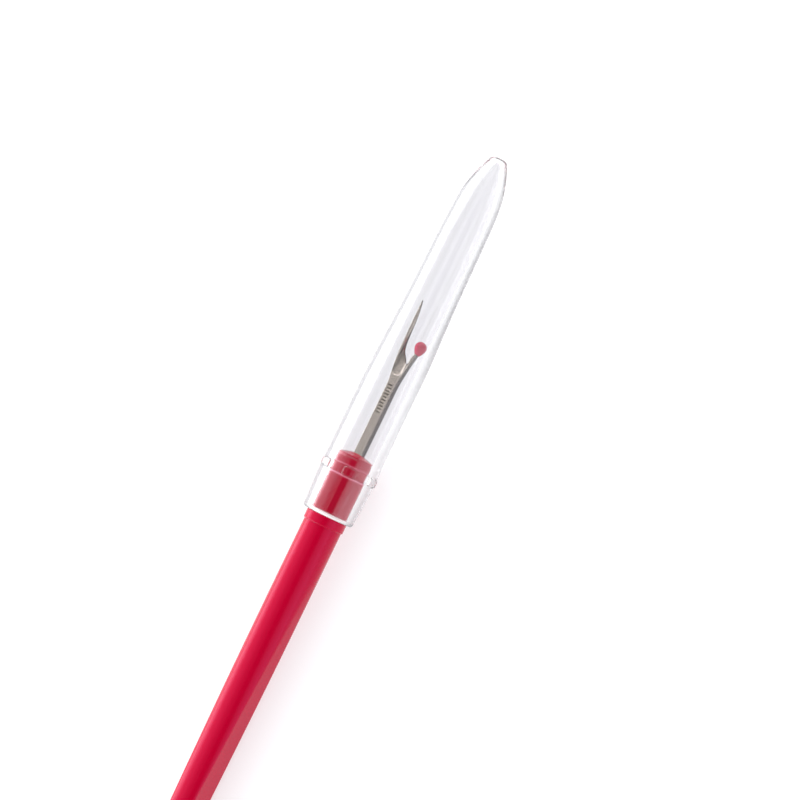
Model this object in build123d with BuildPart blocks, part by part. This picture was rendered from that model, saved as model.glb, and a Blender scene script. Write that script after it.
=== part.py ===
from build123d import *
from math import cos, radians, sin, tan
import os

# A seam ripper with its clear cap pushed on. It lies on a table: the tool's axis runs along +X with
# the cap's tip at +X, and +Z is up. The origin is under the middle of the tool, on the table.
# Stations along the axis are measured from the handle's shoulder, where the cap's mouth stops.

# ---- Driving dimensions, in millimetres and degrees ----

handle_length = 68.0  # from the shoulder back to the tail's end
cap_length = 64.8  # from the cap's mouth to its tip
overall_length = handle_length + cap_length

barrel_radius = 3.3
tail_radius = 3.22  # the barrel draws in slightly behind the start of the flats
collar_radius = 3.5  # the narrow band that the cap's mouth stops against
collar_width = 1.5
collar_edge = 0.15
collar_rounding = 0.1
tail_rounding = 1.8

flat_start = 11.2  # how far behind the shoulder the two finger flats begin
flat_slope = 1.75  # how steeply each flat runs in towards the tail

neck_radius = 3.17
neck_length = 11.4  # from the shoulder to the middle of the neck's top
neck_top_radius = 3.08
neck_top_rounding = 0.15
neck_cone = 0.6  # the neck's top rises this much to a small flat round the shank
neck_cone_radius = 1.0
groove_radius = 2.97
groove_start = 7.3
groove_width = 1.65
groove_edge = 0.1  # the groove's sides lean this much

shank_width = 1.57
shank_thickness = 1.22
shank_shift = 0.35  # the blade stands this far from the axis, towards the ball
tang_depth = 15.0  # how deep the blade is held in the handle
tang_notch_radius = 0.3
fork_start = 23.2  # station where the shank begins to widen into the fork
fork_tip = 38.5  # station of the long prong's point
prong_end = 30.1  # station where the short prong enters the ball
prong_stub = 1.2  # how far it goes in
prong_half_thickness = 0.42  # of the fork where the short prong enters the ball
point_half_thickness = 0.12  # of the long prong's point
bevel_depth = 0.86  # the ground face drops this far from the flat to the cutting edge
step_depth = 0.16  # the first of that drop is steeper
tick_count = 6
tick_pitch = 0.75
tick_width = 0.12
tick_length = 0.9
tick_depth = 0.05
tick_middle = 21.1

ball_start = 29.95
ball_middle = 31.4  # station of the ball's widest section
ball_end = 32.3
ball_neck_radius = 0.56
ball_side = 1.9  # distance of the ball's centre line from the axis
ball_radius = 0.93

mouth_gap = 0.05  # between the cap's mouth and the shoulder
mouth_chamfer = 0.15
mouth_fillet = 0.5
bore_radius = 3.25  # runs on the neck
bore_depth = 10.25  # length of the wider first stretch of the bore
bore_step = 0.4
inner_radius = 3.13  # behind the step at the end of that stretch
mouth_lip_radius = 4.4
cap_radius = 4.75
cone_end = 6.4  # station where the mouth's cone reaches the full radius
taper_start = 21.0
nose_start = 54.0
nose_radius = 3.8
tip_radius = 1.34
tip_fillet = 1.0
cavity_end = 64.05

lug_count = 6
lug_top = 5.0  # distance of a lug's flat top from the axis
lug_length = 2.6  # round the cap
lug_width = 1.65  # along the cap
lug_station = 8.15
lug_corner_radius = 0.55
lug_edge_fillet = 0.2

# ---- Places worked out from them ----

shoulder_x = handle_length - overall_length / 2
lug_pitch = 360 / lug_count
rest_angle = lug_pitch / 2  # the cap rests on the two lugs that stand this far from straight down
axis_height = (
    (lug_top - lug_edge_fillet) * cos(radians(rest_angle))
    + (lug_length / 2 - lug_edge_fillet) * sin(radians(rest_angle))
    + lug_edge_fillet
)

shoulder = (shoulder_x, 0, axis_height)
tool_axis = Axis(shoulder, (1, 0, 0))
side_plane = Plane(origin=shoulder, x_dir=(1, 0, 0), z_dir=(0, -1, 0))  # local y is up
fork_plane = Plane(origin=shoulder, x_dir=(1, 0, 0), z_dir=(0, 0, -1))  # local y is the ball's side

os.makedirs("parts", exist_ok=True)


def corner(station, radius):
    """The corner of the profile being drawn that is at this station and this far from the axis."""
    return vertices().sort_by_distance((station, radius, 0))[0]


# ---- Blade: the steel shank, its tang in the handle, and the fork with its two prongs ----

shank_low = shank_shift - shank_width / 2
shank_high = shank_shift + shank_width / 2
half_shank = shank_thickness / 2
tang_end = neck_length - tang_depth
past_tip = fork_tip + 0.1
ground_past = fork_tip + 1.0
long_prong_outside = [(fork_start, shank_low), (27.4, -0.98), (32.0, -1.36), (fork_tip - 0.05, -1.55)]
cutting_edge = [
    (fork_tip, -1.5),
    (36.4, -1.12),
    (33.5, -0.93),
    (30.4, -0.72),
    (29.5, -0.4),
    (28.9, 0.08),
    (28.4, 0.4),
    (27.95, 0.74),
    (28.5, 1.15),
]
short_prong_outside = [(prong_end, 2.08), (26.3, 1.42), (fork_start, shank_high)]
# The ground face starts on the flat at the first of these lines, is steep as far as the second and
# ends past the cutting edge at the third.
ground_line = [
    (ground_past, -1.53),
    (36.4, -1.42),
    (32.0, -1.22),
    (28.0, -0.9),
    (25.5, -0.3),
    (25.6, 0.78),
    (27.4, 1.42),
    (30.6, 1.84),
]
ground_step = [
    (ground_past, -1.51),
    (36.4, -1.32),
    (32.0, -1.1),
    (28.1, -0.78),
    (25.75, -0.27),
    (25.85, 0.72),
    (27.5, 1.32),
    (30.6, 1.73),
]
ground_end = [
    (ground_past, -1.48),
    (36.4, -1.02),
    (33.5, -0.84),
    (30.5, -0.62),
    (29.2, 0.0),
    (28.25, 0.66),
    (28.8, 1.02),
    (30.6, 1.42),
]

with BuildPart() as blade:
    with BuildSketch(fork_plane):
        with BuildLine():
            Spline(*long_prong_outside, tangents=[(1, 0), (1, 0)])
            Line(long_prong_outside[-1], cutting_edge[0])
            Spline(*cutting_edge)
            Polyline(
                cutting_edge[-1],
                (prong_end, 1.62),
                (prong_end + prong_stub, 1.66),
                (prong_end + prong_stub, 2.08),
                (prong_end, 2.08),
            )
            Spline(*short_prong_outside, tangents=[(-1, -0.25), (-1, 0)])
            Polyline(
                (fork_start, shank_high),
                (tang_end, shank_high),
                (tang_end, shank_low),
                (fork_start, shank_low),
            )
        make_face()
        with Locations((0, shank_low), (0, shank_high)):
            Circle(tang_notch_radius, mode=Mode.SUBTRACT)
    extrude(amount=half_shank, both=True)

    # The fork thins towards the long prong's point.
    with BuildSketch(side_plane):
        with BuildLine():
            Polyline(
                (tang_end - 1, half_shank),
                (fork_start, half_shank),
                (prong_end, prong_half_thickness),
                (past_tip, point_half_thickness),
                (past_tip, -point_half_thickness),
                (prong_end, -prong_half_thickness),
                (fork_start, -half_shank),
                (tang_end - 1, -half_shank),
                close=True,
            )
        make_face()
    extrude(amount=5, both=True, mode=Mode.INTERSECT)

    # The face ground into one side of the fork, down to the sharp edge between the prongs.
    for outline, depth in ((ground_line, -0.02), (ground_step, step_depth), (ground_end, bevel_depth)):
        with BuildSketch(fork_plane.offset(depth - half_shank)):
            with BuildLine():
                Spline(*outline)
                Polyline(outline[-1], (ground_past, outline[-1][1]), outline[0])
            make_face()
    loft(ruled=True, mode=Mode.SUBTRACT)

    # Short plain strokes cut into the flat of the shank.
    with BuildSketch(fork_plane.offset(-half_shank)):
        with Locations((tick_middle, shank_shift)):
            with GridLocations(tick_pitch, 1, tick_count, 1):
                Rectangle(tick_width, tick_length)
    extrude(amount=tick_depth, mode=Mode.SUBTRACT)
blade.part.label = "blade"
export_step(blade.part, "parts/blade.step")

# ---- Handle: one moulding, with the neck that carries the cap and two long finger flats ----

flat_run = handle_length + 1 - flat_start
flat_drop = flat_run * tan(radians(flat_slope))
groove_end = groove_start + groove_width
neck_corner = neck_length - neck_cone

with BuildPart() as handle:
    with BuildSketch(side_plane):
        with BuildLine():
            Polyline(
                (-handle_length, 0),
                (-handle_length, tail_radius),
                (-flat_start, barrel_radius),
                (-collar_width - collar_edge, barrel_radius),
                (-collar_width, collar_radius),
                (0, collar_radius),
                (0, neck_radius),
                (groove_start, neck_radius),
                (groove_start + groove_edge, groove_radius),
                (groove_end, groove_radius),
                (groove_end + groove_edge, neck_top_radius),
                (neck_corner, neck_top_radius),
                (neck_length, neck_cone_radius),
                (neck_length, 0),
                close=True,
            )
        make_face()
        fillet(corner(-handle_length, tail_radius), tail_rounding)
        fillet(corner(neck_corner, neck_top_radius), neck_top_rounding)
        fillet(corner(-collar_width, collar_radius), collar_rounding)
        fillet(corner(0, collar_radius), collar_rounding)
    revolve(axis=tool_axis)

    # Each flat starts as a point on the barrel and widens towards the tail.
    with BuildSketch(fork_plane):
        with BuildLine():
            Polyline(
                (-flat_start, barrel_radius),
                (-flat_start - flat_run, barrel_radius - flat_drop),
                (-flat_start - flat_run, barrel_radius + 1),
                (-flat_start, barrel_radius + 1),
                close=True,
            )
        make_face()
        mirror(about=Plane.XZ)
    extrude(amount=barrel_radius + 1, both=True, mode=Mode.SUBTRACT)
    add(blade.part, mode=Mode.SUBTRACT)
handle.part.label = "handle"
export_step(handle.part, "parts/handle.step")

# ---- Ball tip: an egg-shaped guard moulded round the end of the short prong ----

ball_origin = (shoulder_x, -ball_side, axis_height)
ball_plane = Plane(origin=ball_origin, x_dir=(1, 0, 0), z_dir=(0, -1, 0))

with BuildPart() as ball_tip:
    with BuildSketch(ball_plane):
        with BuildLine():
            Polyline((ball_end, 0), (ball_start, 0), (ball_start, ball_neck_radius))
            Spline(
                (ball_start, ball_neck_radius),
                (ball_middle, ball_radius),
                (ball_end, 0),
                tangents=[(1, 0.35), (0, -1)],
            )
        make_face()
    revolve(axis=Axis(ball_origin, (1, 0, 0)))
    add(blade.part, mode=Mode.SUBTRACT)
ball_tip.part.label = "ball_tip"
export_step(ball_tip.part, "parts/ball_tip.step")

# ---- Cap: a clear moulding, open at its mouth, with flat-topped lugs that stop it rolling ----

lug_root = bore_radius + 0.6
lug_plane = Plane(origin=(shoulder_x + lug_station, 0, axis_height), x_dir=(0, 1, 0), z_dir=(0, 0, 1))

with BuildPart() as lug:
    with BuildSketch(lug_plane.offset(lug_root)):
        RectangleRounded(lug_length, lug_width, lug_corner_radius)
    extrude(amount=lug_top - lug_root)
    fillet(lug.faces().sort_by(Axis.Z)[-1].edges(), lug_edge_fillet)

with BuildPart() as cap:
    with BuildSketch(side_plane):
        with BuildLine():
            Polyline((cap_length, 0), (mouth_gap, 0), (mouth_gap, mouth_lip_radius))
            Line((mouth_gap, mouth_lip_radius), (cone_end, cap_radius))
            Line((cone_end, cap_radius), (taper_start, cap_radius))
            Spline(
                (taper_start, cap_radius),
                (39.3, 4.15),
                (nose_start, nose_radius),
                tangents=[(1, 0), (1, -0.04)],
            )
            Spline(
                (nose_start, nose_radius),
                (58.5, 3.4),
                (62.2, 2.42),
                (cap_length, tip_radius),
                tangents=[(1, -0.04), (1, -0.5)],
            )
            Line((cap_length, tip_radius), (cap_length, 0))
        make_face()
        fillet(corner(mouth_gap, mouth_lip_radius), mouth_fillet)
        fillet(corner(cap_length, tip_radius), tip_fillet)
    revolve(axis=tool_axis)
    for number in range(lug_count):
        add(lug.part.rotate(tool_axis, rest_angle + number * lug_pitch))
    with BuildSketch(side_plane):
        with BuildLine():
            Polyline(
                (cavity_end, 0),
                (0, 0),
                (0, bore_radius + mouth_chamfer),
                (mouth_gap + mouth_chamfer, bore_radius),
                (bore_depth, bore_radius),
                (bore_depth + bore_step, inner_radius),
                (36.0, 2.98),
                (50.0, 2.78),
            )
            Spline(
                (50.0, 2.78),
                (56.0, 2.42),
                (60.6, 1.68),
                (62.9, 0.95),
                (cavity_end, 0),
                tangents=[(1, -0.02), (0, -1)],
            )
        make_face()
    revolve(axis=tool_axis, mode=Mode.SUBTRACT)
cap.part.label = "cap"
export_step(cap.part, "parts/cap.step")
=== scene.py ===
from math import atan, ceil, cos, pi, radians, sin, tan

import bpy
import numpy as np
from mathutils import Matrix, Vector


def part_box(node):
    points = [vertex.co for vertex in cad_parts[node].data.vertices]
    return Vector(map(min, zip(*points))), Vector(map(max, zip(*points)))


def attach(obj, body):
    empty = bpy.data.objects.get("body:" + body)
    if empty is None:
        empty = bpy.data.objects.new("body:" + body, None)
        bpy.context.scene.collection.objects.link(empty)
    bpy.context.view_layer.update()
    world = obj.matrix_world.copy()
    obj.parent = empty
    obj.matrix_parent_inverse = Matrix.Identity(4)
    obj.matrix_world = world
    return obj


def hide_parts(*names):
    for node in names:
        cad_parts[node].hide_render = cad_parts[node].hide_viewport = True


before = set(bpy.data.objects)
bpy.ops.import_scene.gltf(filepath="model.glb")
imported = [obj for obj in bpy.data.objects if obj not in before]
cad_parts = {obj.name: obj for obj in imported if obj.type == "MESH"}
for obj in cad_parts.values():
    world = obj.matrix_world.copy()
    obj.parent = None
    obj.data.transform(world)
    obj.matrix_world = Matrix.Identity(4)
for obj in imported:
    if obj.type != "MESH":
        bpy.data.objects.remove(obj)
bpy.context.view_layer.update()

# A seam ripper lying on a pale floor with its clear cap on. Metres, in the CAD frame: the tool runs
# along +X, its cap's tip at +X, its fork's ball on the -Y side. Sizes are written in millimetres and
# stations along the tool are counted from the handle's shoulder, where the cap's mouth stops.

MM = 0.001

# ---- Places taken from the frame ----
handle_low, handle_high = [Vector(v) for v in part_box("handle")]
cap_low, cap_high = [Vector(v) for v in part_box("cap")]
MOUTH_GAP = 0.05
shoulder = Vector((cap_low.x - MOUTH_GAP * MM, 0, (handle_low.z + handle_high.z) / 2))
cap_length = (cap_high.x - shoulder.x) / MM
handle_length = (shoulder.x - handle_low.x) / MM
neck_length = (handle_high.x - shoulder.x) / MM


# ---- Profiles: lists of (station, radius) in millimetres ----
CORNER_CUTS = 6  # pieces that a round corner is cut into


def spline(points, start_slope, end_slope, step):
    """Points on a smooth curve through the given ones, which leaves and arrives along the two slopes."""
    p = np.array(points, float)
    t = np.concatenate([[0], np.cumsum(np.hypot(*np.diff(p, axis=0).T))])
    n = len(p)
    rows, sides = np.zeros((n, n)), np.zeros((n, 2))
    gaps = np.diff(t)
    rows[0, 0] = rows[-1, -1] = 1
    sides[0] = np.array(start_slope) / np.hypot(*start_slope)
    sides[-1] = np.array(end_slope) / np.hypot(*end_slope)
    for i in range(1, n - 1):
        before, after = gaps[i - 1], gaps[i]
        rows[i, i - 1 : i + 2] = after, 2 * (before + after), before
        sides[i] = 3 * (after * (p[i] - p[i - 1]) / before + before * (p[i + 1] - p[i]) / after)
    slopes = np.linalg.solve(rows, sides)
    curve = []
    for i in range(n - 1):
        count = max(2, ceil(gaps[i] / step))
        for u in np.arange(count) / count:
            a, b = 2 * u**3 - 3 * u**2 + 1, u**3 - 2 * u**2 + u
            c, d = 3 * u**2 - 2 * u**3, u**3 - u**2
            pulled = b * gaps[i] * slopes[i] + d * gaps[i] * slopes[i + 1]
            curve.append(tuple(a * p[i] + c * p[i + 1] + pulled))
    return curve + [tuple(p[-1])]


def rounded(corners, step):
    """A line through corners given as (station, radius, rounding), cut into pieces no longer than step."""
    path = []
    p = [Vector(corner[:2]) for corner in corners]
    for i, corner in enumerate(p):
        rounding = corners[i][2]
        if rounding == 0:
            path.append(corner)
            continue
        a, b = (p[i - 1] - corner).normalized(), (p[i + 1] - corner).normalized()
        half = a.angle(b) / 2
        middle = corner + (a + b).normalized() * rounding / sin(half)
        start, end = corner + a * rounding / tan(half), corner + b * rounding / tan(half)
        for k in range(CORNER_CUTS + 1):
            mixed = (start - middle) * (CORNER_CUTS - k) / CORNER_CUTS + (end - middle) * k / CORNER_CUTS
            path.append(middle + mixed.normalized() * rounding)
    cut = []
    for a, b in zip(path, path[1:]):
        count = max(1, ceil((b - a).length / step))
        cut += [tuple(a + (b - a) * k / count) for k in range(count)]
    return cut + [tuple(path[-1])]


def refine(profile, start, end, step):
    """The profile with its points between two stations replaced by closer ones."""
    curve = np.array(profile)
    kept = [tuple(q) for q in profile if q[0] < start]
    after = [tuple(q) for q in profile if q[0] > end]
    close = np.linspace(start, end, ceil((end - start) / step) + 1)
    return kept + list(zip(close, np.interp(close, curve[:, 0], curve[:, 1]))) + after


# ---- Meshes ----
SEGMENTS = 480  # round the cap and the handle


def add_object(name, data):
    item = bpy.data.objects.new(name, data)
    bpy.context.collection.objects.link(item)
    return item


def add_mesh(name, points, faces):
    mesh = bpy.data.meshes.new(name)
    mesh.from_pydata(points, [], faces)
    return add_object(name, mesh)


def turned(name, profile, segments, shape=None, side=0):
    """A closed mesh turned from a profile that starts and ends on its axis, which is the tool's own or
    stands to the ball's side of it. shape(stations, y, z) may move the rings' points."""
    inner = np.array(profile[1:-1])
    angles = np.arange(segments) * 2 * pi / segments
    x = np.repeat(inner[:, :1], segments, axis=1)
    y, z = inner[:, 1:] * np.cos(angles), inner[:, 1:] * np.sin(angles)
    if shape:
        y, z = shape(x, y, z)
    points = np.stack([x, y, z], axis=2).reshape(-1, 3)
    ends = np.array([(profile[0][0], 0, 0), (profile[-1][0], 0, 0)])
    points = (np.vstack([points, ends]) - (0, side, 0)) * MM + np.array(shoulder)
    index = np.arange(len(inner) * segments).reshape(len(inner), segments)
    turn = np.roll(index, -1, axis=1)
    quads = np.stack([index[:-1], turn[:-1], turn[1:], index[1:]], axis=2).reshape(-1, 4)
    faces = quads.tolist()
    first, last = len(points) - 2, len(points) - 1
    faces += [(first, int(b), int(a)) for a, b in zip(index[0], turn[0])]
    faces += [(last, int(a), int(b)) for a, b in zip(index[-1], turn[-1])]
    piece = add_mesh(name, points.tolist(), faces)
    piece.data.polygons.foreach_set("use_smooth", [True] * len(faces))
    piece.data.update()
    return piece


def mark(piece, name, values):
    """Gives each ring of the cap or the handle a number that its material reads."""
    per_point = np.append(np.repeat(values, SEGMENTS), (values[0], values[-1]))
    piece.data.attributes.new(name, "FLOAT", "POINT").data.foreach_set("value", per_point)


def smooth_step(value):
    value = np.clip(value, 0, 1)
    return value * value * (3 - 2 * value)


# ---- Cap: a finer mesh of the CAD's cap, because the facets of a coarse one show in clear plastic ----
CAP_RADIUS, MOUTH_LIP_RADIUS, MOUTH_FILLET, TIP_FILLET = 4.75, 4.4, 0.5, 1.0
CONE_END, TAPER_START, NOSE_START, CAVITY_END = 6.4, 21.0, 54.0, 64.05
NOSE_RADIUS, TIP_RADIUS = 3.8, 1.34
NOSE_SLOPE = (1, -0.04)
NOSE_MARGIN = 1.6  # the nose's curve ends this short of the tip, ahead of the tip's fillet
BORE_RADIUS, BORE_DEPTH, BORE_STEP, INNER_RADIUS, MOUTH_CHAMFER = 3.25, 10.25, 0.4, 3.13, 0.5
CAVITY_START, CAVITY_RADIUS = 50.0, 2.78
WALL_MIDDLE = BORE_RADIUS + 0.6  # the outside's radii are above this near the mouth, the bore's below
LUG_COUNT, LUG_TOP, LUG_LENGTH, LUG_WIDTH, LUG_STATION, LUG_CORNER = 6, 5.0, 2.6, 1.65, 8.15, 0.47
LUG_EDGE = 0.24
LUG_MARGIN = 0.15  # of finer rings beyond the lugs
MOUTH_END = 2.0  # past the mouth's fillet
RIM_HEIGHT = 0.62  # of the frosted lip at the mouth
CAP_STEP, TIP_STEP, LUG_STEP = 0.35, 0.12, 0.05

mouth = rounded(
    [
        (MOUTH_GAP, BORE_RADIUS + MOUTH_CHAMFER, 0),
        (MOUTH_GAP, MOUTH_LIP_RADIUS, MOUTH_FILLET),
        (CONE_END, CAP_RADIUS, 0),
        (TAPER_START, CAP_RADIUS, 0),
    ],
    CAP_STEP,
)
taper = spline(
    [(TAPER_START, CAP_RADIUS), (39.3, 4.15), (NOSE_START, NOSE_RADIUS)], (1, 0), NOSE_SLOPE, CAP_STEP
)
nose = spline(
    [(NOSE_START, NOSE_RADIUS), (58.5, 3.4), (62.2, 2.42), (cap_length, TIP_RADIUS)],
    NOSE_SLOPE,
    (1, -0.5),
    CAP_STEP,
)
before_tip = [q for q in nose if q[0] < cap_length - NOSE_MARGIN]
tip = rounded(
    [(*before_tip[-1], 0), (cap_length, TIP_RADIUS, TIP_FILLET), (cap_length, 0, 0)],
    TIP_STEP,
)
outside = mouth[:-1] + taper[:-1] + before_tip[:-1] + tip
mouth_count = next(i for i, q in enumerate(outside) if q[0] > MOUTH_END)
lugs_start = LUG_STATION - LUG_WIDTH / 2 - LUG_MARGIN
lugs_end = LUG_STATION + LUG_WIDTH / 2 + LUG_MARGIN
outside = outside[:mouth_count] + refine(outside[mouth_count:], lugs_start, lugs_end, LUG_STEP)
cavity = spline(
    [(CAVITY_START, CAVITY_RADIUS), (56.0, 2.42), (60.6, 1.68), (62.9, 0.95), (CAVITY_END, 0)],
    (1, -0.02),
    (0, -1),
    CAP_STEP / 2,
)
bore = rounded(
    [
        (MOUTH_GAP, BORE_RADIUS + MOUTH_CHAMFER, 0),
        (MOUTH_GAP + MOUTH_CHAMFER, BORE_RADIUS, 0.2),
        (BORE_DEPTH, BORE_RADIUS, 0.6),
        (BORE_DEPTH + BORE_STEP, INNER_RADIUS, 0.6),
        (36.0, 2.98, 40),
        (CAVITY_START, CAVITY_RADIUS, 0),
    ],
    CAP_STEP,
)
cap_profile = (bore[1:-1] + cavity)[::-1] + outside


def raise_lugs(x, y, z):
    """Six flat-topped pads stand out of the ring of points round the mouth."""
    radius, angle = np.hypot(y, z), np.arctan2(z, y)
    pitch = 2 * pi / LUG_COUNT
    turn = (angle + pitch / 2) % pitch - pitch / 2
    across = np.abs(np.tan(turn)) * LUG_TOP - (LUG_LENGTH / 2 - LUG_CORNER)
    length = np.abs(x - LUG_STATION) - (LUG_WIDTH / 2 - LUG_CORNER)
    beyond = np.hypot(np.maximum(across, 0), np.maximum(length, 0))
    outside_pad = beyond + np.minimum(np.maximum(across, length), 0)
    raised = smooth_step((LUG_CORNER - outside_pad) / LUG_EDGE)
    top = LUG_TOP / np.cos(turn)
    grown = np.where(radius > WALL_MIDDLE, radius + (top - radius) * raised, radius)
    return grown * np.cos(angle), grown * np.sin(angle)


cap = turned("clear_cap", cap_profile, SEGMENTS, raise_lugs)
bore_rings = len(bore) - 2 + len(cavity) - 1
mark(cap, "inside", [float(i < bore_rings) for i in range(len(cap_profile) - 2)])
mark(cap, "rim", [float(q[0] < RIM_HEIGHT) for q in cap_profile[1:-1]])
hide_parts("cap")
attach(cap, "cap")

# ---- Handle: a finer mesh with soft edges ----
BARREL_RADIUS, TAIL_RADIUS, COLLAR_RADIUS, COLLAR_WIDTH, COLLAR_EDGE = 3.3, 3.22, 3.5, 1.5, 0.15
FLAT_START, FLAT_SLOPE, TAIL_ROUNDING = 11.2, radians(1.75), 1.8
NECK_RADIUS, NECK_TOP_RADIUS, NECK_CONE, NECK_CONE_RADIUS = 3.17, 3.08, 0.6, 1.0
GROOVE_START, GROOVE_WIDTH, GROOVE_RADIUS, GROOVE_EDGE = 7.3, 1.65, 2.97, 0.16
GROOVE_END = GROOVE_START + GROOVE_WIDTH
SMALL_ROUNDING = 0.05
FLAT_SOFTNESS = 0.07  # of the flats' edges
UNCUT = 9.0  # a half width that clears the whole barrel
HIGHLIGHT_REACH, HIGHLIGHT_AT_START, HIGHLIGHT_AT_END = 0.1, 0.7, 0.25  # painted highlight lines at the groove's two edges
HANDLE_STEP = 0.3

handle_profile = rounded(
    [
        (-handle_length, 0, 0),
        (-handle_length, TAIL_RADIUS, TAIL_ROUNDING),
        (-FLAT_START, BARREL_RADIUS, 0),
        (-COLLAR_WIDTH - COLLAR_EDGE, BARREL_RADIUS, SMALL_ROUNDING),
        (-COLLAR_WIDTH, COLLAR_RADIUS, 0.07),
        (0, COLLAR_RADIUS, 0.1),
        (0, NECK_RADIUS, SMALL_ROUNDING),
        (GROOVE_START, NECK_RADIUS, 0.06),
        (GROOVE_START + GROOVE_EDGE, GROOVE_RADIUS, SMALL_ROUNDING),
        (GROOVE_END, GROOVE_RADIUS, SMALL_ROUNDING),
        (GROOVE_END + GROOVE_EDGE, NECK_TOP_RADIUS, SMALL_ROUNDING),
        (neck_length - NECK_CONE, NECK_TOP_RADIUS, 0.15),
        (neck_length, NECK_CONE_RADIUS, 0.2),
        (neck_length, 0, 0),
    ],
    HANDLE_STEP,
)[::-1]


def cut_flats(x, y, z):
    """The two finger flats, whose edges are softened a little."""
    flat = BARREL_RADIUS - np.maximum(-x - FLAT_START, 0) * tan(FLAT_SLOPE)
    flat = np.where(x > -FLAT_START, UNCUT, flat)
    over = (np.abs(y) - flat) / FLAT_SOFTNESS
    softened = np.abs(y) - FLAT_SOFTNESS * np.logaddexp(0, over)
    return np.sign(y) * np.maximum(softened, 0), z


def groove_highlight(station):
    """How strong the painted highlight is: a line round each of the groove's edges, the stronger on the
    collar's side.
    """
    at_start = abs(station - GROOVE_START) < HIGHLIGHT_REACH
    at_end = abs(station - GROOVE_END - HIGHLIGHT_REACH) < HIGHLIGHT_REACH
    return HIGHLIGHT_AT_START * at_start + HIGHLIGHT_AT_END * at_end


handle = turned("handle_moulding", handle_profile, SEGMENTS, cut_flats)
# the rings round the groove's edges get a painted highlight
mark(handle, "rounded_edge_and_painted_highlight", [groove_highlight(q[0]) for q in handle_profile[1:-1]])
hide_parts("handle")
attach(handle, "ripper")

# ---- Ball tip: a finer mesh, an egg with its narrow end on the short prong ----
BALL_START, BALL_MIDDLE, BALL_NECK, BALL_RADIUS, BALL_SIDE = 29.95, 31.37, 0.4, 0.93, 1.9
BALL_SEGMENTS, NARROW_RINGS, WIDE_RINGS = 96, 24, 32

egg = [(BALL_START, 0)]
for k in range(NARROW_RINGS + 1):
    swell = sin(pi / 2 * k / NARROW_RINGS)
    station = BALL_START + (BALL_MIDDLE - BALL_START) * k / NARROW_RINGS
    egg.append((station, BALL_NECK + (BALL_RADIUS - BALL_NECK) * swell))
for k in range(1, WIDE_RINGS + 1):
    turn = pi / 2 * k / WIDE_RINGS
    egg.append((BALL_MIDDLE + BALL_RADIUS * sin(turn), BALL_RADIUS * cos(turn)))
ball = turned("ball_moulding", egg[::-1], BALL_SEGMENTS, side=BALL_SIDE)
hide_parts("ball_tip")
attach(ball, "ripper")

# ---- Strokes: plain uneven marks across the shank, standing a hair above it ----
SHANK_SHIFT, SHANK_TOP = 0.35, 0.61  # of its middle towards the ball's side, of its flat above the axis
STROKE_START, STROKE_PITCH, STROKE_WIDTH, STROKE_COUNT = 18.9, 0.53, 0.24, 10
STROKE_HEIGHT, STROKE_ROOT = 0.015, -0.05  # from the shank's flat
STROKE_LOW, STROKE_HIGH = SHANK_SHIFT - 0.62, SHANK_SHIFT + 0.34  # ends of the longest strokes
LOW_STEP, HIGH_STEP = 0.09, 0.12  # by which the ends are uneven
BOX_FACES = ((3, 2, 1, 0), (4, 5, 6, 7), (0, 1, 5, 4), (1, 2, 6, 5), (2, 3, 7, 6), (3, 0, 4, 7))

stroke_points, stroke_faces = [], []
for number in range(STROKE_COUNT):
    start = STROKE_START + number * STROKE_PITCH
    end = start + STROKE_WIDTH
    low = STROKE_LOW + LOW_STEP * (number % 3)
    high = STROKE_HIGH - HIGH_STEP * (number % 2)
    first = len(stroke_points)
    for height in (STROKE_ROOT, STROKE_HEIGHT):
        for x, side in ((start, low), (end, low), (end, high), (start, high)):
            stroke_points.append(shoulder + Vector((x, -side, SHANK_TOP + height)) * MM)
    stroke_faces += [tuple(first + k for k in face) for face in BOX_FACES]
strokes = add_mesh("shank_strokes", stroke_points, stroke_faces)
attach(strokes, "ripper")


# ---- Materials ----
class Shader:
    """The node tree of a material or the world, with short calls to add and join nodes."""

    def __init__(self, owner, output="ShaderNodeOutputMaterial"):
        owner.use_nodes = True
        self.owner = owner
        self.tree = owner.node_tree
        self.tree.nodes.clear()
        self.output = self.add(output)

    def add(self, kind, settings=None, **inputs):
        """A new node. An input is named with _ for its spaces, or i and its number."""
        node = self.tree.nodes.new(kind)
        for name, value in (settings or {}).items():
            setattr(node, name, value)
        for name, value in inputs.items():
            numbered = name[0] == "i" and name[1:].isdigit()
            socket = node.inputs[int(name[1:])] if numbered else node.inputs[name.replace("_", " ")]
            if isinstance(value, bpy.types.NodeSocket):
                self.tree.links.new(value, socket)
            else:
                socket.default_value = value
        return node

    def attribute(self, name):
        return self.add("ShaderNodeAttribute", {"attribute_name": name}).outputs["Fac"]

    def place(self, kind):
        return self.add("ShaderNodeTexCoord").outputs[kind]

    def axis(self, vector, letter):
        return self.add("ShaderNodeSeparateXYZ", Vector=vector).outputs[letter]

    def noise(self, vector, scale, detail):
        return self.add("ShaderNodeTexNoise", Vector=vector, Scale=scale, Detail=detail).outputs["Fac"]

    def math(self, operation, *values):
        inputs = {f"i{k}": value for k, value in enumerate(values)}
        return self.add("ShaderNodeMath", {"operation": operation}, **inputs).outputs[0]

    def ramp(self, value, low, high, first=0.0, second=1.0, kind="SMOOTHSTEP"):
        """first where a value is at low or beyond, second where it is at high or beyond."""
        ends = {"From_Min": low, "From_Max": high, "To_Min": first, "To_Max": second}
        node = self.add("ShaderNodeMapRange", {"interpolation_type": kind}, Value=value, **ends)
        return node.outputs["Result"]

    def blend(self, amount, first, second):
        """The first colour where amount is 0, turning into the second as it comes to 1."""
        return self.add("ShaderNodeMix", {"data_type": "RGBA"}, i0=amount, i6=first, i7=second).outputs[2]

    def finish(self, surface):
        self.tree.links.new(surface.outputs[0], self.output.inputs["Surface"])
        return self.owner


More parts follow.
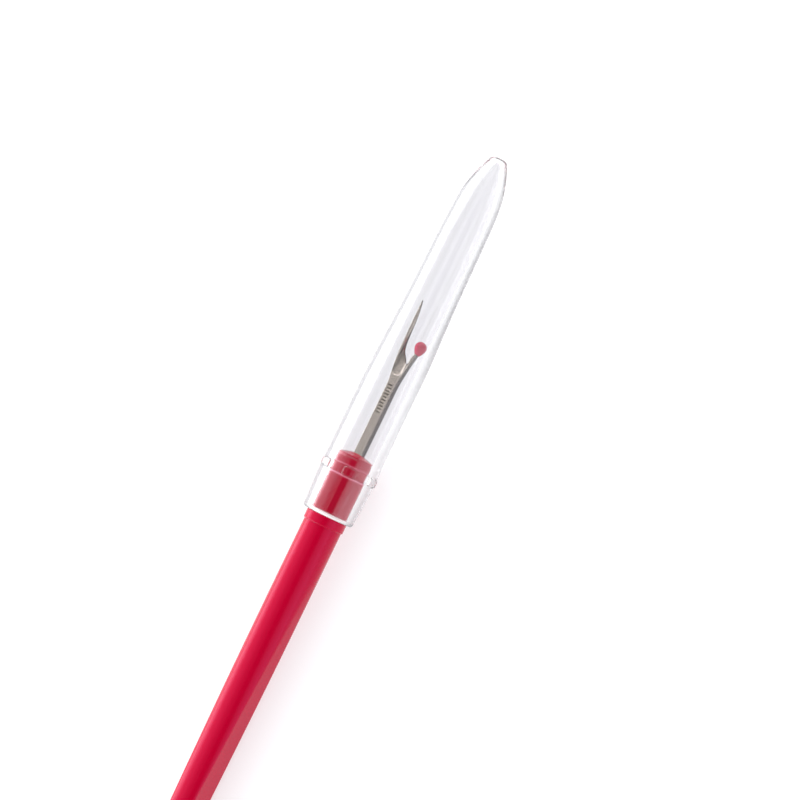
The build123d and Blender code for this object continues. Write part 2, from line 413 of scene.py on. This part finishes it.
NOISE_LOW, NOISE_HIGH = 0.3, 0.7  # most of a noise lies between these
# the painted highlight's colour, for the lines round the groove's edges
HIGHLIGHT_CRIMSON = (0.95, 0.36, 0.5, 1)
CRIMSON_GLOSS = (1.0, 0.25, 0.6, 1)
MOTTLE_SCALE, WAVE_SCALE = 900.0, 260.0  # features to the metre
WAVE_STRENGTH, WAVE_HEIGHT = 0.08, 0.2 * MM
SMOOTHEST, ROUGHEST = 0.8, 1.25  # of a plastic's roughness


def plastic(name, colour, roughness):
    """Glossy moulded plastic, paler with a painted highlight where its mesh is marked for one."""
    s = Shader(bpy.data.materials.new(name))
    place = s.place("Object")
    mottle = s.noise(place, MOTTLE_SCALE, 3.0)
    waves = s.noise(place, WAVE_SCALE, 2.0)
    bump = s.add("ShaderNodeBump", Height=waves, Strength=WAVE_STRENGTH, Distance=WAVE_HEIGHT)
    smoothest, roughest = roughness * SMOOTHEST, roughness * ROUGHEST
    shader = s.add(
        "ShaderNodeBsdfPrincipled",
        Base_Color=s.blend(s.attribute("rounded_edge_and_painted_highlight"), colour, HIGHLIGHT_CRIMSON),
        Roughness=s.ramp(mottle, NOISE_LOW, NOISE_HIGH, smoothest, roughest, "LINEAR"),
        IOR=1.49,
        Specular_Tint=CRIMSON_GLOSS,
        Normal=bump.outputs["Normal"],
    )
    return s.finish(shader)


GRAIN_SCALE = (400.0, 9000.0, 9000.0)  # drawn out along the blade
GRAIN_STRENGTH, GRAIN_HEIGHT = 0.2, 0.02 * MM
STEEL_SMOOTHEST, STEEL_ROUGHEST = 0.14, 0.26
SIDE_SHADE_TO, FLAT_FROM = 0.1, 0.4  # how upright a normal is where the sides' painted shade ends, the flats' colour starts
BEVEL_SAMPLES = 12


def steel(name, colour, side_shade, rounding):
    """Nickelled steel, whose sharp edges look rounded off, and whose upright sides get painted shade, darker
    than its flats.
    """
    s = Shader(bpy.data.materials.new(name))
    flatness = s.math("ABSOLUTE", s.axis(s.place("Normal"), "Z"))
    lines = s.add("ShaderNodeMapping", Vector=s.place("Object"), Scale=GRAIN_SCALE)
    grain = s.noise(lines.outputs["Vector"], 1.0, 3.0)
    rounded_edge_and_painted_highlight = s.add("ShaderNodeBevel", {"samples": BEVEL_SAMPLES}, Radius=rounding * MM).outputs[0]
    relief = {"Strength": GRAIN_STRENGTH, "Distance": GRAIN_HEIGHT}
    bump = s.add("ShaderNodeBump", Height=grain, Normal=rounded_edge_and_painted_highlight, **relief)
    shader = s.add(
        "ShaderNodeBsdfPrincipled",
        Base_Color=s.blend(s.ramp(flatness, SIDE_SHADE_TO, FLAT_FROM), side_shade, colour),
        Metallic=1.0,
        Roughness=s.ramp(grain, NOISE_LOW, NOISE_HIGH, STEEL_SMOOTHEST, STEEL_ROUGHEST, "LINEAR"),
        Normal=bump.outputs["Normal"],
    )
    return s.finish(shader)


# Painted shade on the clear cap: its skin greyer where seen edge on, its lower half darker there, most
# towards the nose.
CLEAR_FACE = (0.97, 0.97, 0.976, 1)
UPPER_EDGE_SHADE = (0.4, 0.4, 0.415, 1)
LOWER_EDGE_SHADE_AT_MOUTH = (0.42, 0.42, 0.435, 1)
LOWER_EDGE_SHADE_AT_NOSE = (0.1, 0.1, 0.105, 1)
# Painted shade in the hollow: its skin dims what is seen through it, and more so on its flanks.
HOLLOW_SHADE = (0.81, 0.805, 0.825, 1)
HOLLOW_FLANK_SHADE = (0.59, 0.587, 0.6, 1)
LAMPLIGHT = (0.95, 0.95, 0.955, 1)
FROST = 0.5
# Pairs of where a tone starts to change and where it has changed.
UPPER_TURN, LOWER_TURN = (0.36, 0.6), (0.15, 0.72)  # how edge on the skin is seen, above and below
UPPER_HALF = (0.25, 0.45)  # how upright its normal is
DARKER_FROM, DARKER_TO = 8, 36  # stations between which the painted shade on the lower half's edge darkens
FLANK_START, FLANK_END = (0.0, 0.05), (0.24, 0.08)  # how edge on the hollow is seen


def clear(name):
    """Polished clear plastic with painted shade: greyer where it is seen edge on, darker so on its lower half
    towards the nose, and in its hollow dimmer and greyer on the flanks. It is frosted where its mesh is
    marked as the rim. Lamps and scattered light pass straight through, only a little dimmed."""
    s = Shader(bpy.data.materials.new(name))
    facing = s.add("ShaderNodeLayerWeight", Blend=0.5).outputs["Facing"]
    upper = s.blend(s.ramp(facing, *UPPER_TURN), CLEAR_FACE, UPPER_EDGE_SHADE)
    along_cap = s.axis(s.place("Object"), "X")
    towards_nose = s.ramp(along_cap, shoulder.x + DARKER_FROM * MM, shoulder.x + DARKER_TO * MM)
    lower_edge_shade = s.blend(towards_nose, LOWER_EDGE_SHADE_AT_MOUTH, LOWER_EDGE_SHADE_AT_NOSE)
    lower = s.blend(s.ramp(facing, *LOWER_TURN), CLEAR_FACE, lower_edge_shade)
    skin = s.blend(s.ramp(s.axis(s.place("Normal"), "Z"), *UPPER_HALF), lower, upper)
    flank_shade = s.math("MULTIPLY", s.ramp(facing, *FLANK_START), s.ramp(facing, *FLANK_END))
    entering = s.add("ShaderNodeNewGeometry").outputs["Backfacing"]
    hollow_shade = s.blend(s.math("MULTIPLY", flank_shade, entering), HOLLOW_SHADE, HOLLOW_FLANK_SHADE)
    frosted = s.math("MULTIPLY", s.attribute("rim"), FROST)
    glass = s.add(
        "ShaderNodeBsdfPrincipled",
        Base_Color=s.blend(s.attribute("inside"), skin, hollow_shade),
        Roughness=frosted,
        IOR=1.5,
        Transmission_Weight=s.math("SUBTRACT", 1.0, frosted),
    )
    open_to_lamps = s.add("ShaderNodeBsdfTransparent", Color=LAMPLIGHT)
    path = s.add("ShaderNodeLightPath").outputs
    light = s.math("MAXIMUM", path["Is Shadow Ray"], path["Is Diffuse Ray"])
    mix = s.add("ShaderNodeMixShader", i0=light, i1=glass.outputs[0], i2=open_to_lamps.outputs[0])
    return s.finish(mix)


CRIMSON, BALL_CRIMSON = (0.45, 0.0, 0.022, 1), (0.45, 0.004, 0.04, 1)
# The second steel colour of each pair is painted shade for the upright sides.
STEEL, SIDE_SHADE_STEEL = (0.44, 0.395, 0.355, 1), (0.1, 0.08, 0.08, 1)
STROKE_STEEL, STROKE_SIDE_SHADE = (0.17, 0.15, 0.12, 1), (0.12, 0.105, 0.08, 1)

cap.data.materials.append(clear("clear moulding"))
handle.data.materials.append(plastic("crimson moulding", CRIMSON, 0.2))
ball.data.materials.append(plastic("crimson ball", BALL_CRIMSON, 0.12))
strokes.data.materials.append(steel("pressed strokes", STROKE_STEEL, STROKE_SIDE_SHADE, 0.03))
blade_steel = steel("nickelled steel", STEEL, SIDE_SHADE_STEEL, 0.2)
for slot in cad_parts["blade"].material_slots:
    slot.material = blade_steel

# ---- Floor: it leans by the little that the tool does, resting on two lugs and the tail ----
FLOOR_HALF = 1.6
FLOOR_COLOUR, FLOOR_GLOW = (0.44, 0.44, 0.45, 1), (0.985, 0.98, 1.0, 1)

lug_x = shoulder.x + LUG_STATION * MM
tail_x = handle_low.x + TAIL_ROUNDING * MM
lean = atan((shoulder.z - TAIL_RADIUS * MM) / (lug_x - tail_x))
corners = [(x * FLOOR_HALF, y * FLOOR_HALF, 0) for x, y in ((-1, -1), (1, -1), (1, 1), (-1, 1))]
floor = add_mesh("floor", corners, [(0, 1, 2, 3)])
floor.matrix_world = Matrix.Translation((lug_x, 0, 0)) @ Matrix.Rotation(lean, 4, "Y")
s = Shader(bpy.data.materials.new("pale floor"))
paint = s.add(
    "ShaderNodeBsdfPrincipled",
    Base_Color=FLOOR_COLOUR,
    Roughness=0.8,
    Specular_IOR_Level=0.1,
    Emission_Color=FLOOR_GLOW,
    Emission_Strength=0.62,
)
floor.data.materials.append(s.finish(paint))

# ---- Light: a white room, brightest low on the tool's +Y side, dark round the camera's direction ----
VIEW_ELEVATION = radians(62)
BACKGROUND = (0.97, 0.97, 0.97, 1)
ROOM_STRENGTH = 1.2
SHADES = (  # round the camera's direction: degrees to where one starts to fade and to its end, light left
    (13, 17, 0.15),
    (20, 58, 0.35),
)
LAMPS = (  # direction, degrees to where one starts to fade and to its end, strength
    ((0.7, 1, 0.2), 33, 40, 1.8),
    ((-0.7, 1, 0.2), 33, 40, 1.8),
    ((1, 0, 0.7), 22, 34, 0.5),
    ((-1, 0, 0.7), 22, 34, 0.5),
    ((0, -1, 0.2), 22, 40, 0.55),
)

back = Vector((0, -cos(VIEW_ELEVATION), sin(VIEW_ELEVATION)))
world = bpy.data.worlds.new("studio")
room = Shader(world, "ShaderNodeOutputWorld")
direction = room.place("Generated")


def patch(centre, core, edge, inside, outside):
    """A value that is inside within core degrees of a direction and outside beyond edge degrees."""
    towards = {"i0": direction, "i1": Vector(centre).normalized()}
    facing = room.add("ShaderNodeVectorMath", {"operation": "DOT_PRODUCT"}, **towards).outputs["Value"]
    return room.ramp(facing, cos(radians(edge)), cos(radians(core)), outside, inside)


light = room.math("MULTIPLY", *[patch(back, core, edge, left, 1) for core, edge, left in SHADES])
for centre, core, edge, strength in LAMPS:
    light = room.math("ADD", light, patch(centre, core, edge, strength, 0))
studio = room.add("ShaderNodeBackground", Color=light, Strength=ROOM_STRENGTH)
plain = room.add("ShaderNodeBackground", Color=BACKGROUND, Strength=1.0)
seen = room.add("ShaderNodeLightPath").outputs["Is Camera Ray"]
room.finish(room.add("ShaderNodeMixShader", i0=seen, i1=studio.outputs[0], i2=plain.outputs[0]))

scene = bpy.context.scene
scene.world = world
scene.view_settings.view_transform = "Standard"
scene.cycles.max_bounces = scene.cycles.transmission_bounces = 60  # light runs far inside the cap's wall
scene.cycles.glossy_bounces = 30

# ---- Camera: above the -Y side, rolled so that the tip points up to the right ----
TIP_ANGLE = radians(64.2)  # of the tool's axis above the picture's horizontal
CAMERA_DISTANCE = 0.75
SENSOR_WIDTH = 36
VIEW_WIDTH = 0.1304
TARGET_ALONG = 22.3 * MM  # from the shoulder
TARGET_ASIDE = 2.42 * MM  # to the picture's right of the axis

along = Vector((1, 0, 0))
aside = along.cross(back)
right = along * cos(TIP_ANGLE) + aside * sin(TIP_ANGLE)
up = back.cross(right)
target = shoulder + along * TARGET_ALONG + aside * TARGET_ASIDE
turned_to_view = Matrix((right, up, back)).transposed().to_4x4()

camera_data = bpy.data.cameras.new("camera")
camera_data.sensor_width = SENSOR_WIDTH
camera_data.lens = SENSOR_WIDTH / VIEW_WIDTH * CAMERA_DISTANCE
camera = add_object("camera", camera_data)
camera.matrix_world = Matrix.Translation(target + back * CAMERA_DISTANCE) @ turned_to_view
scene.camera = camera
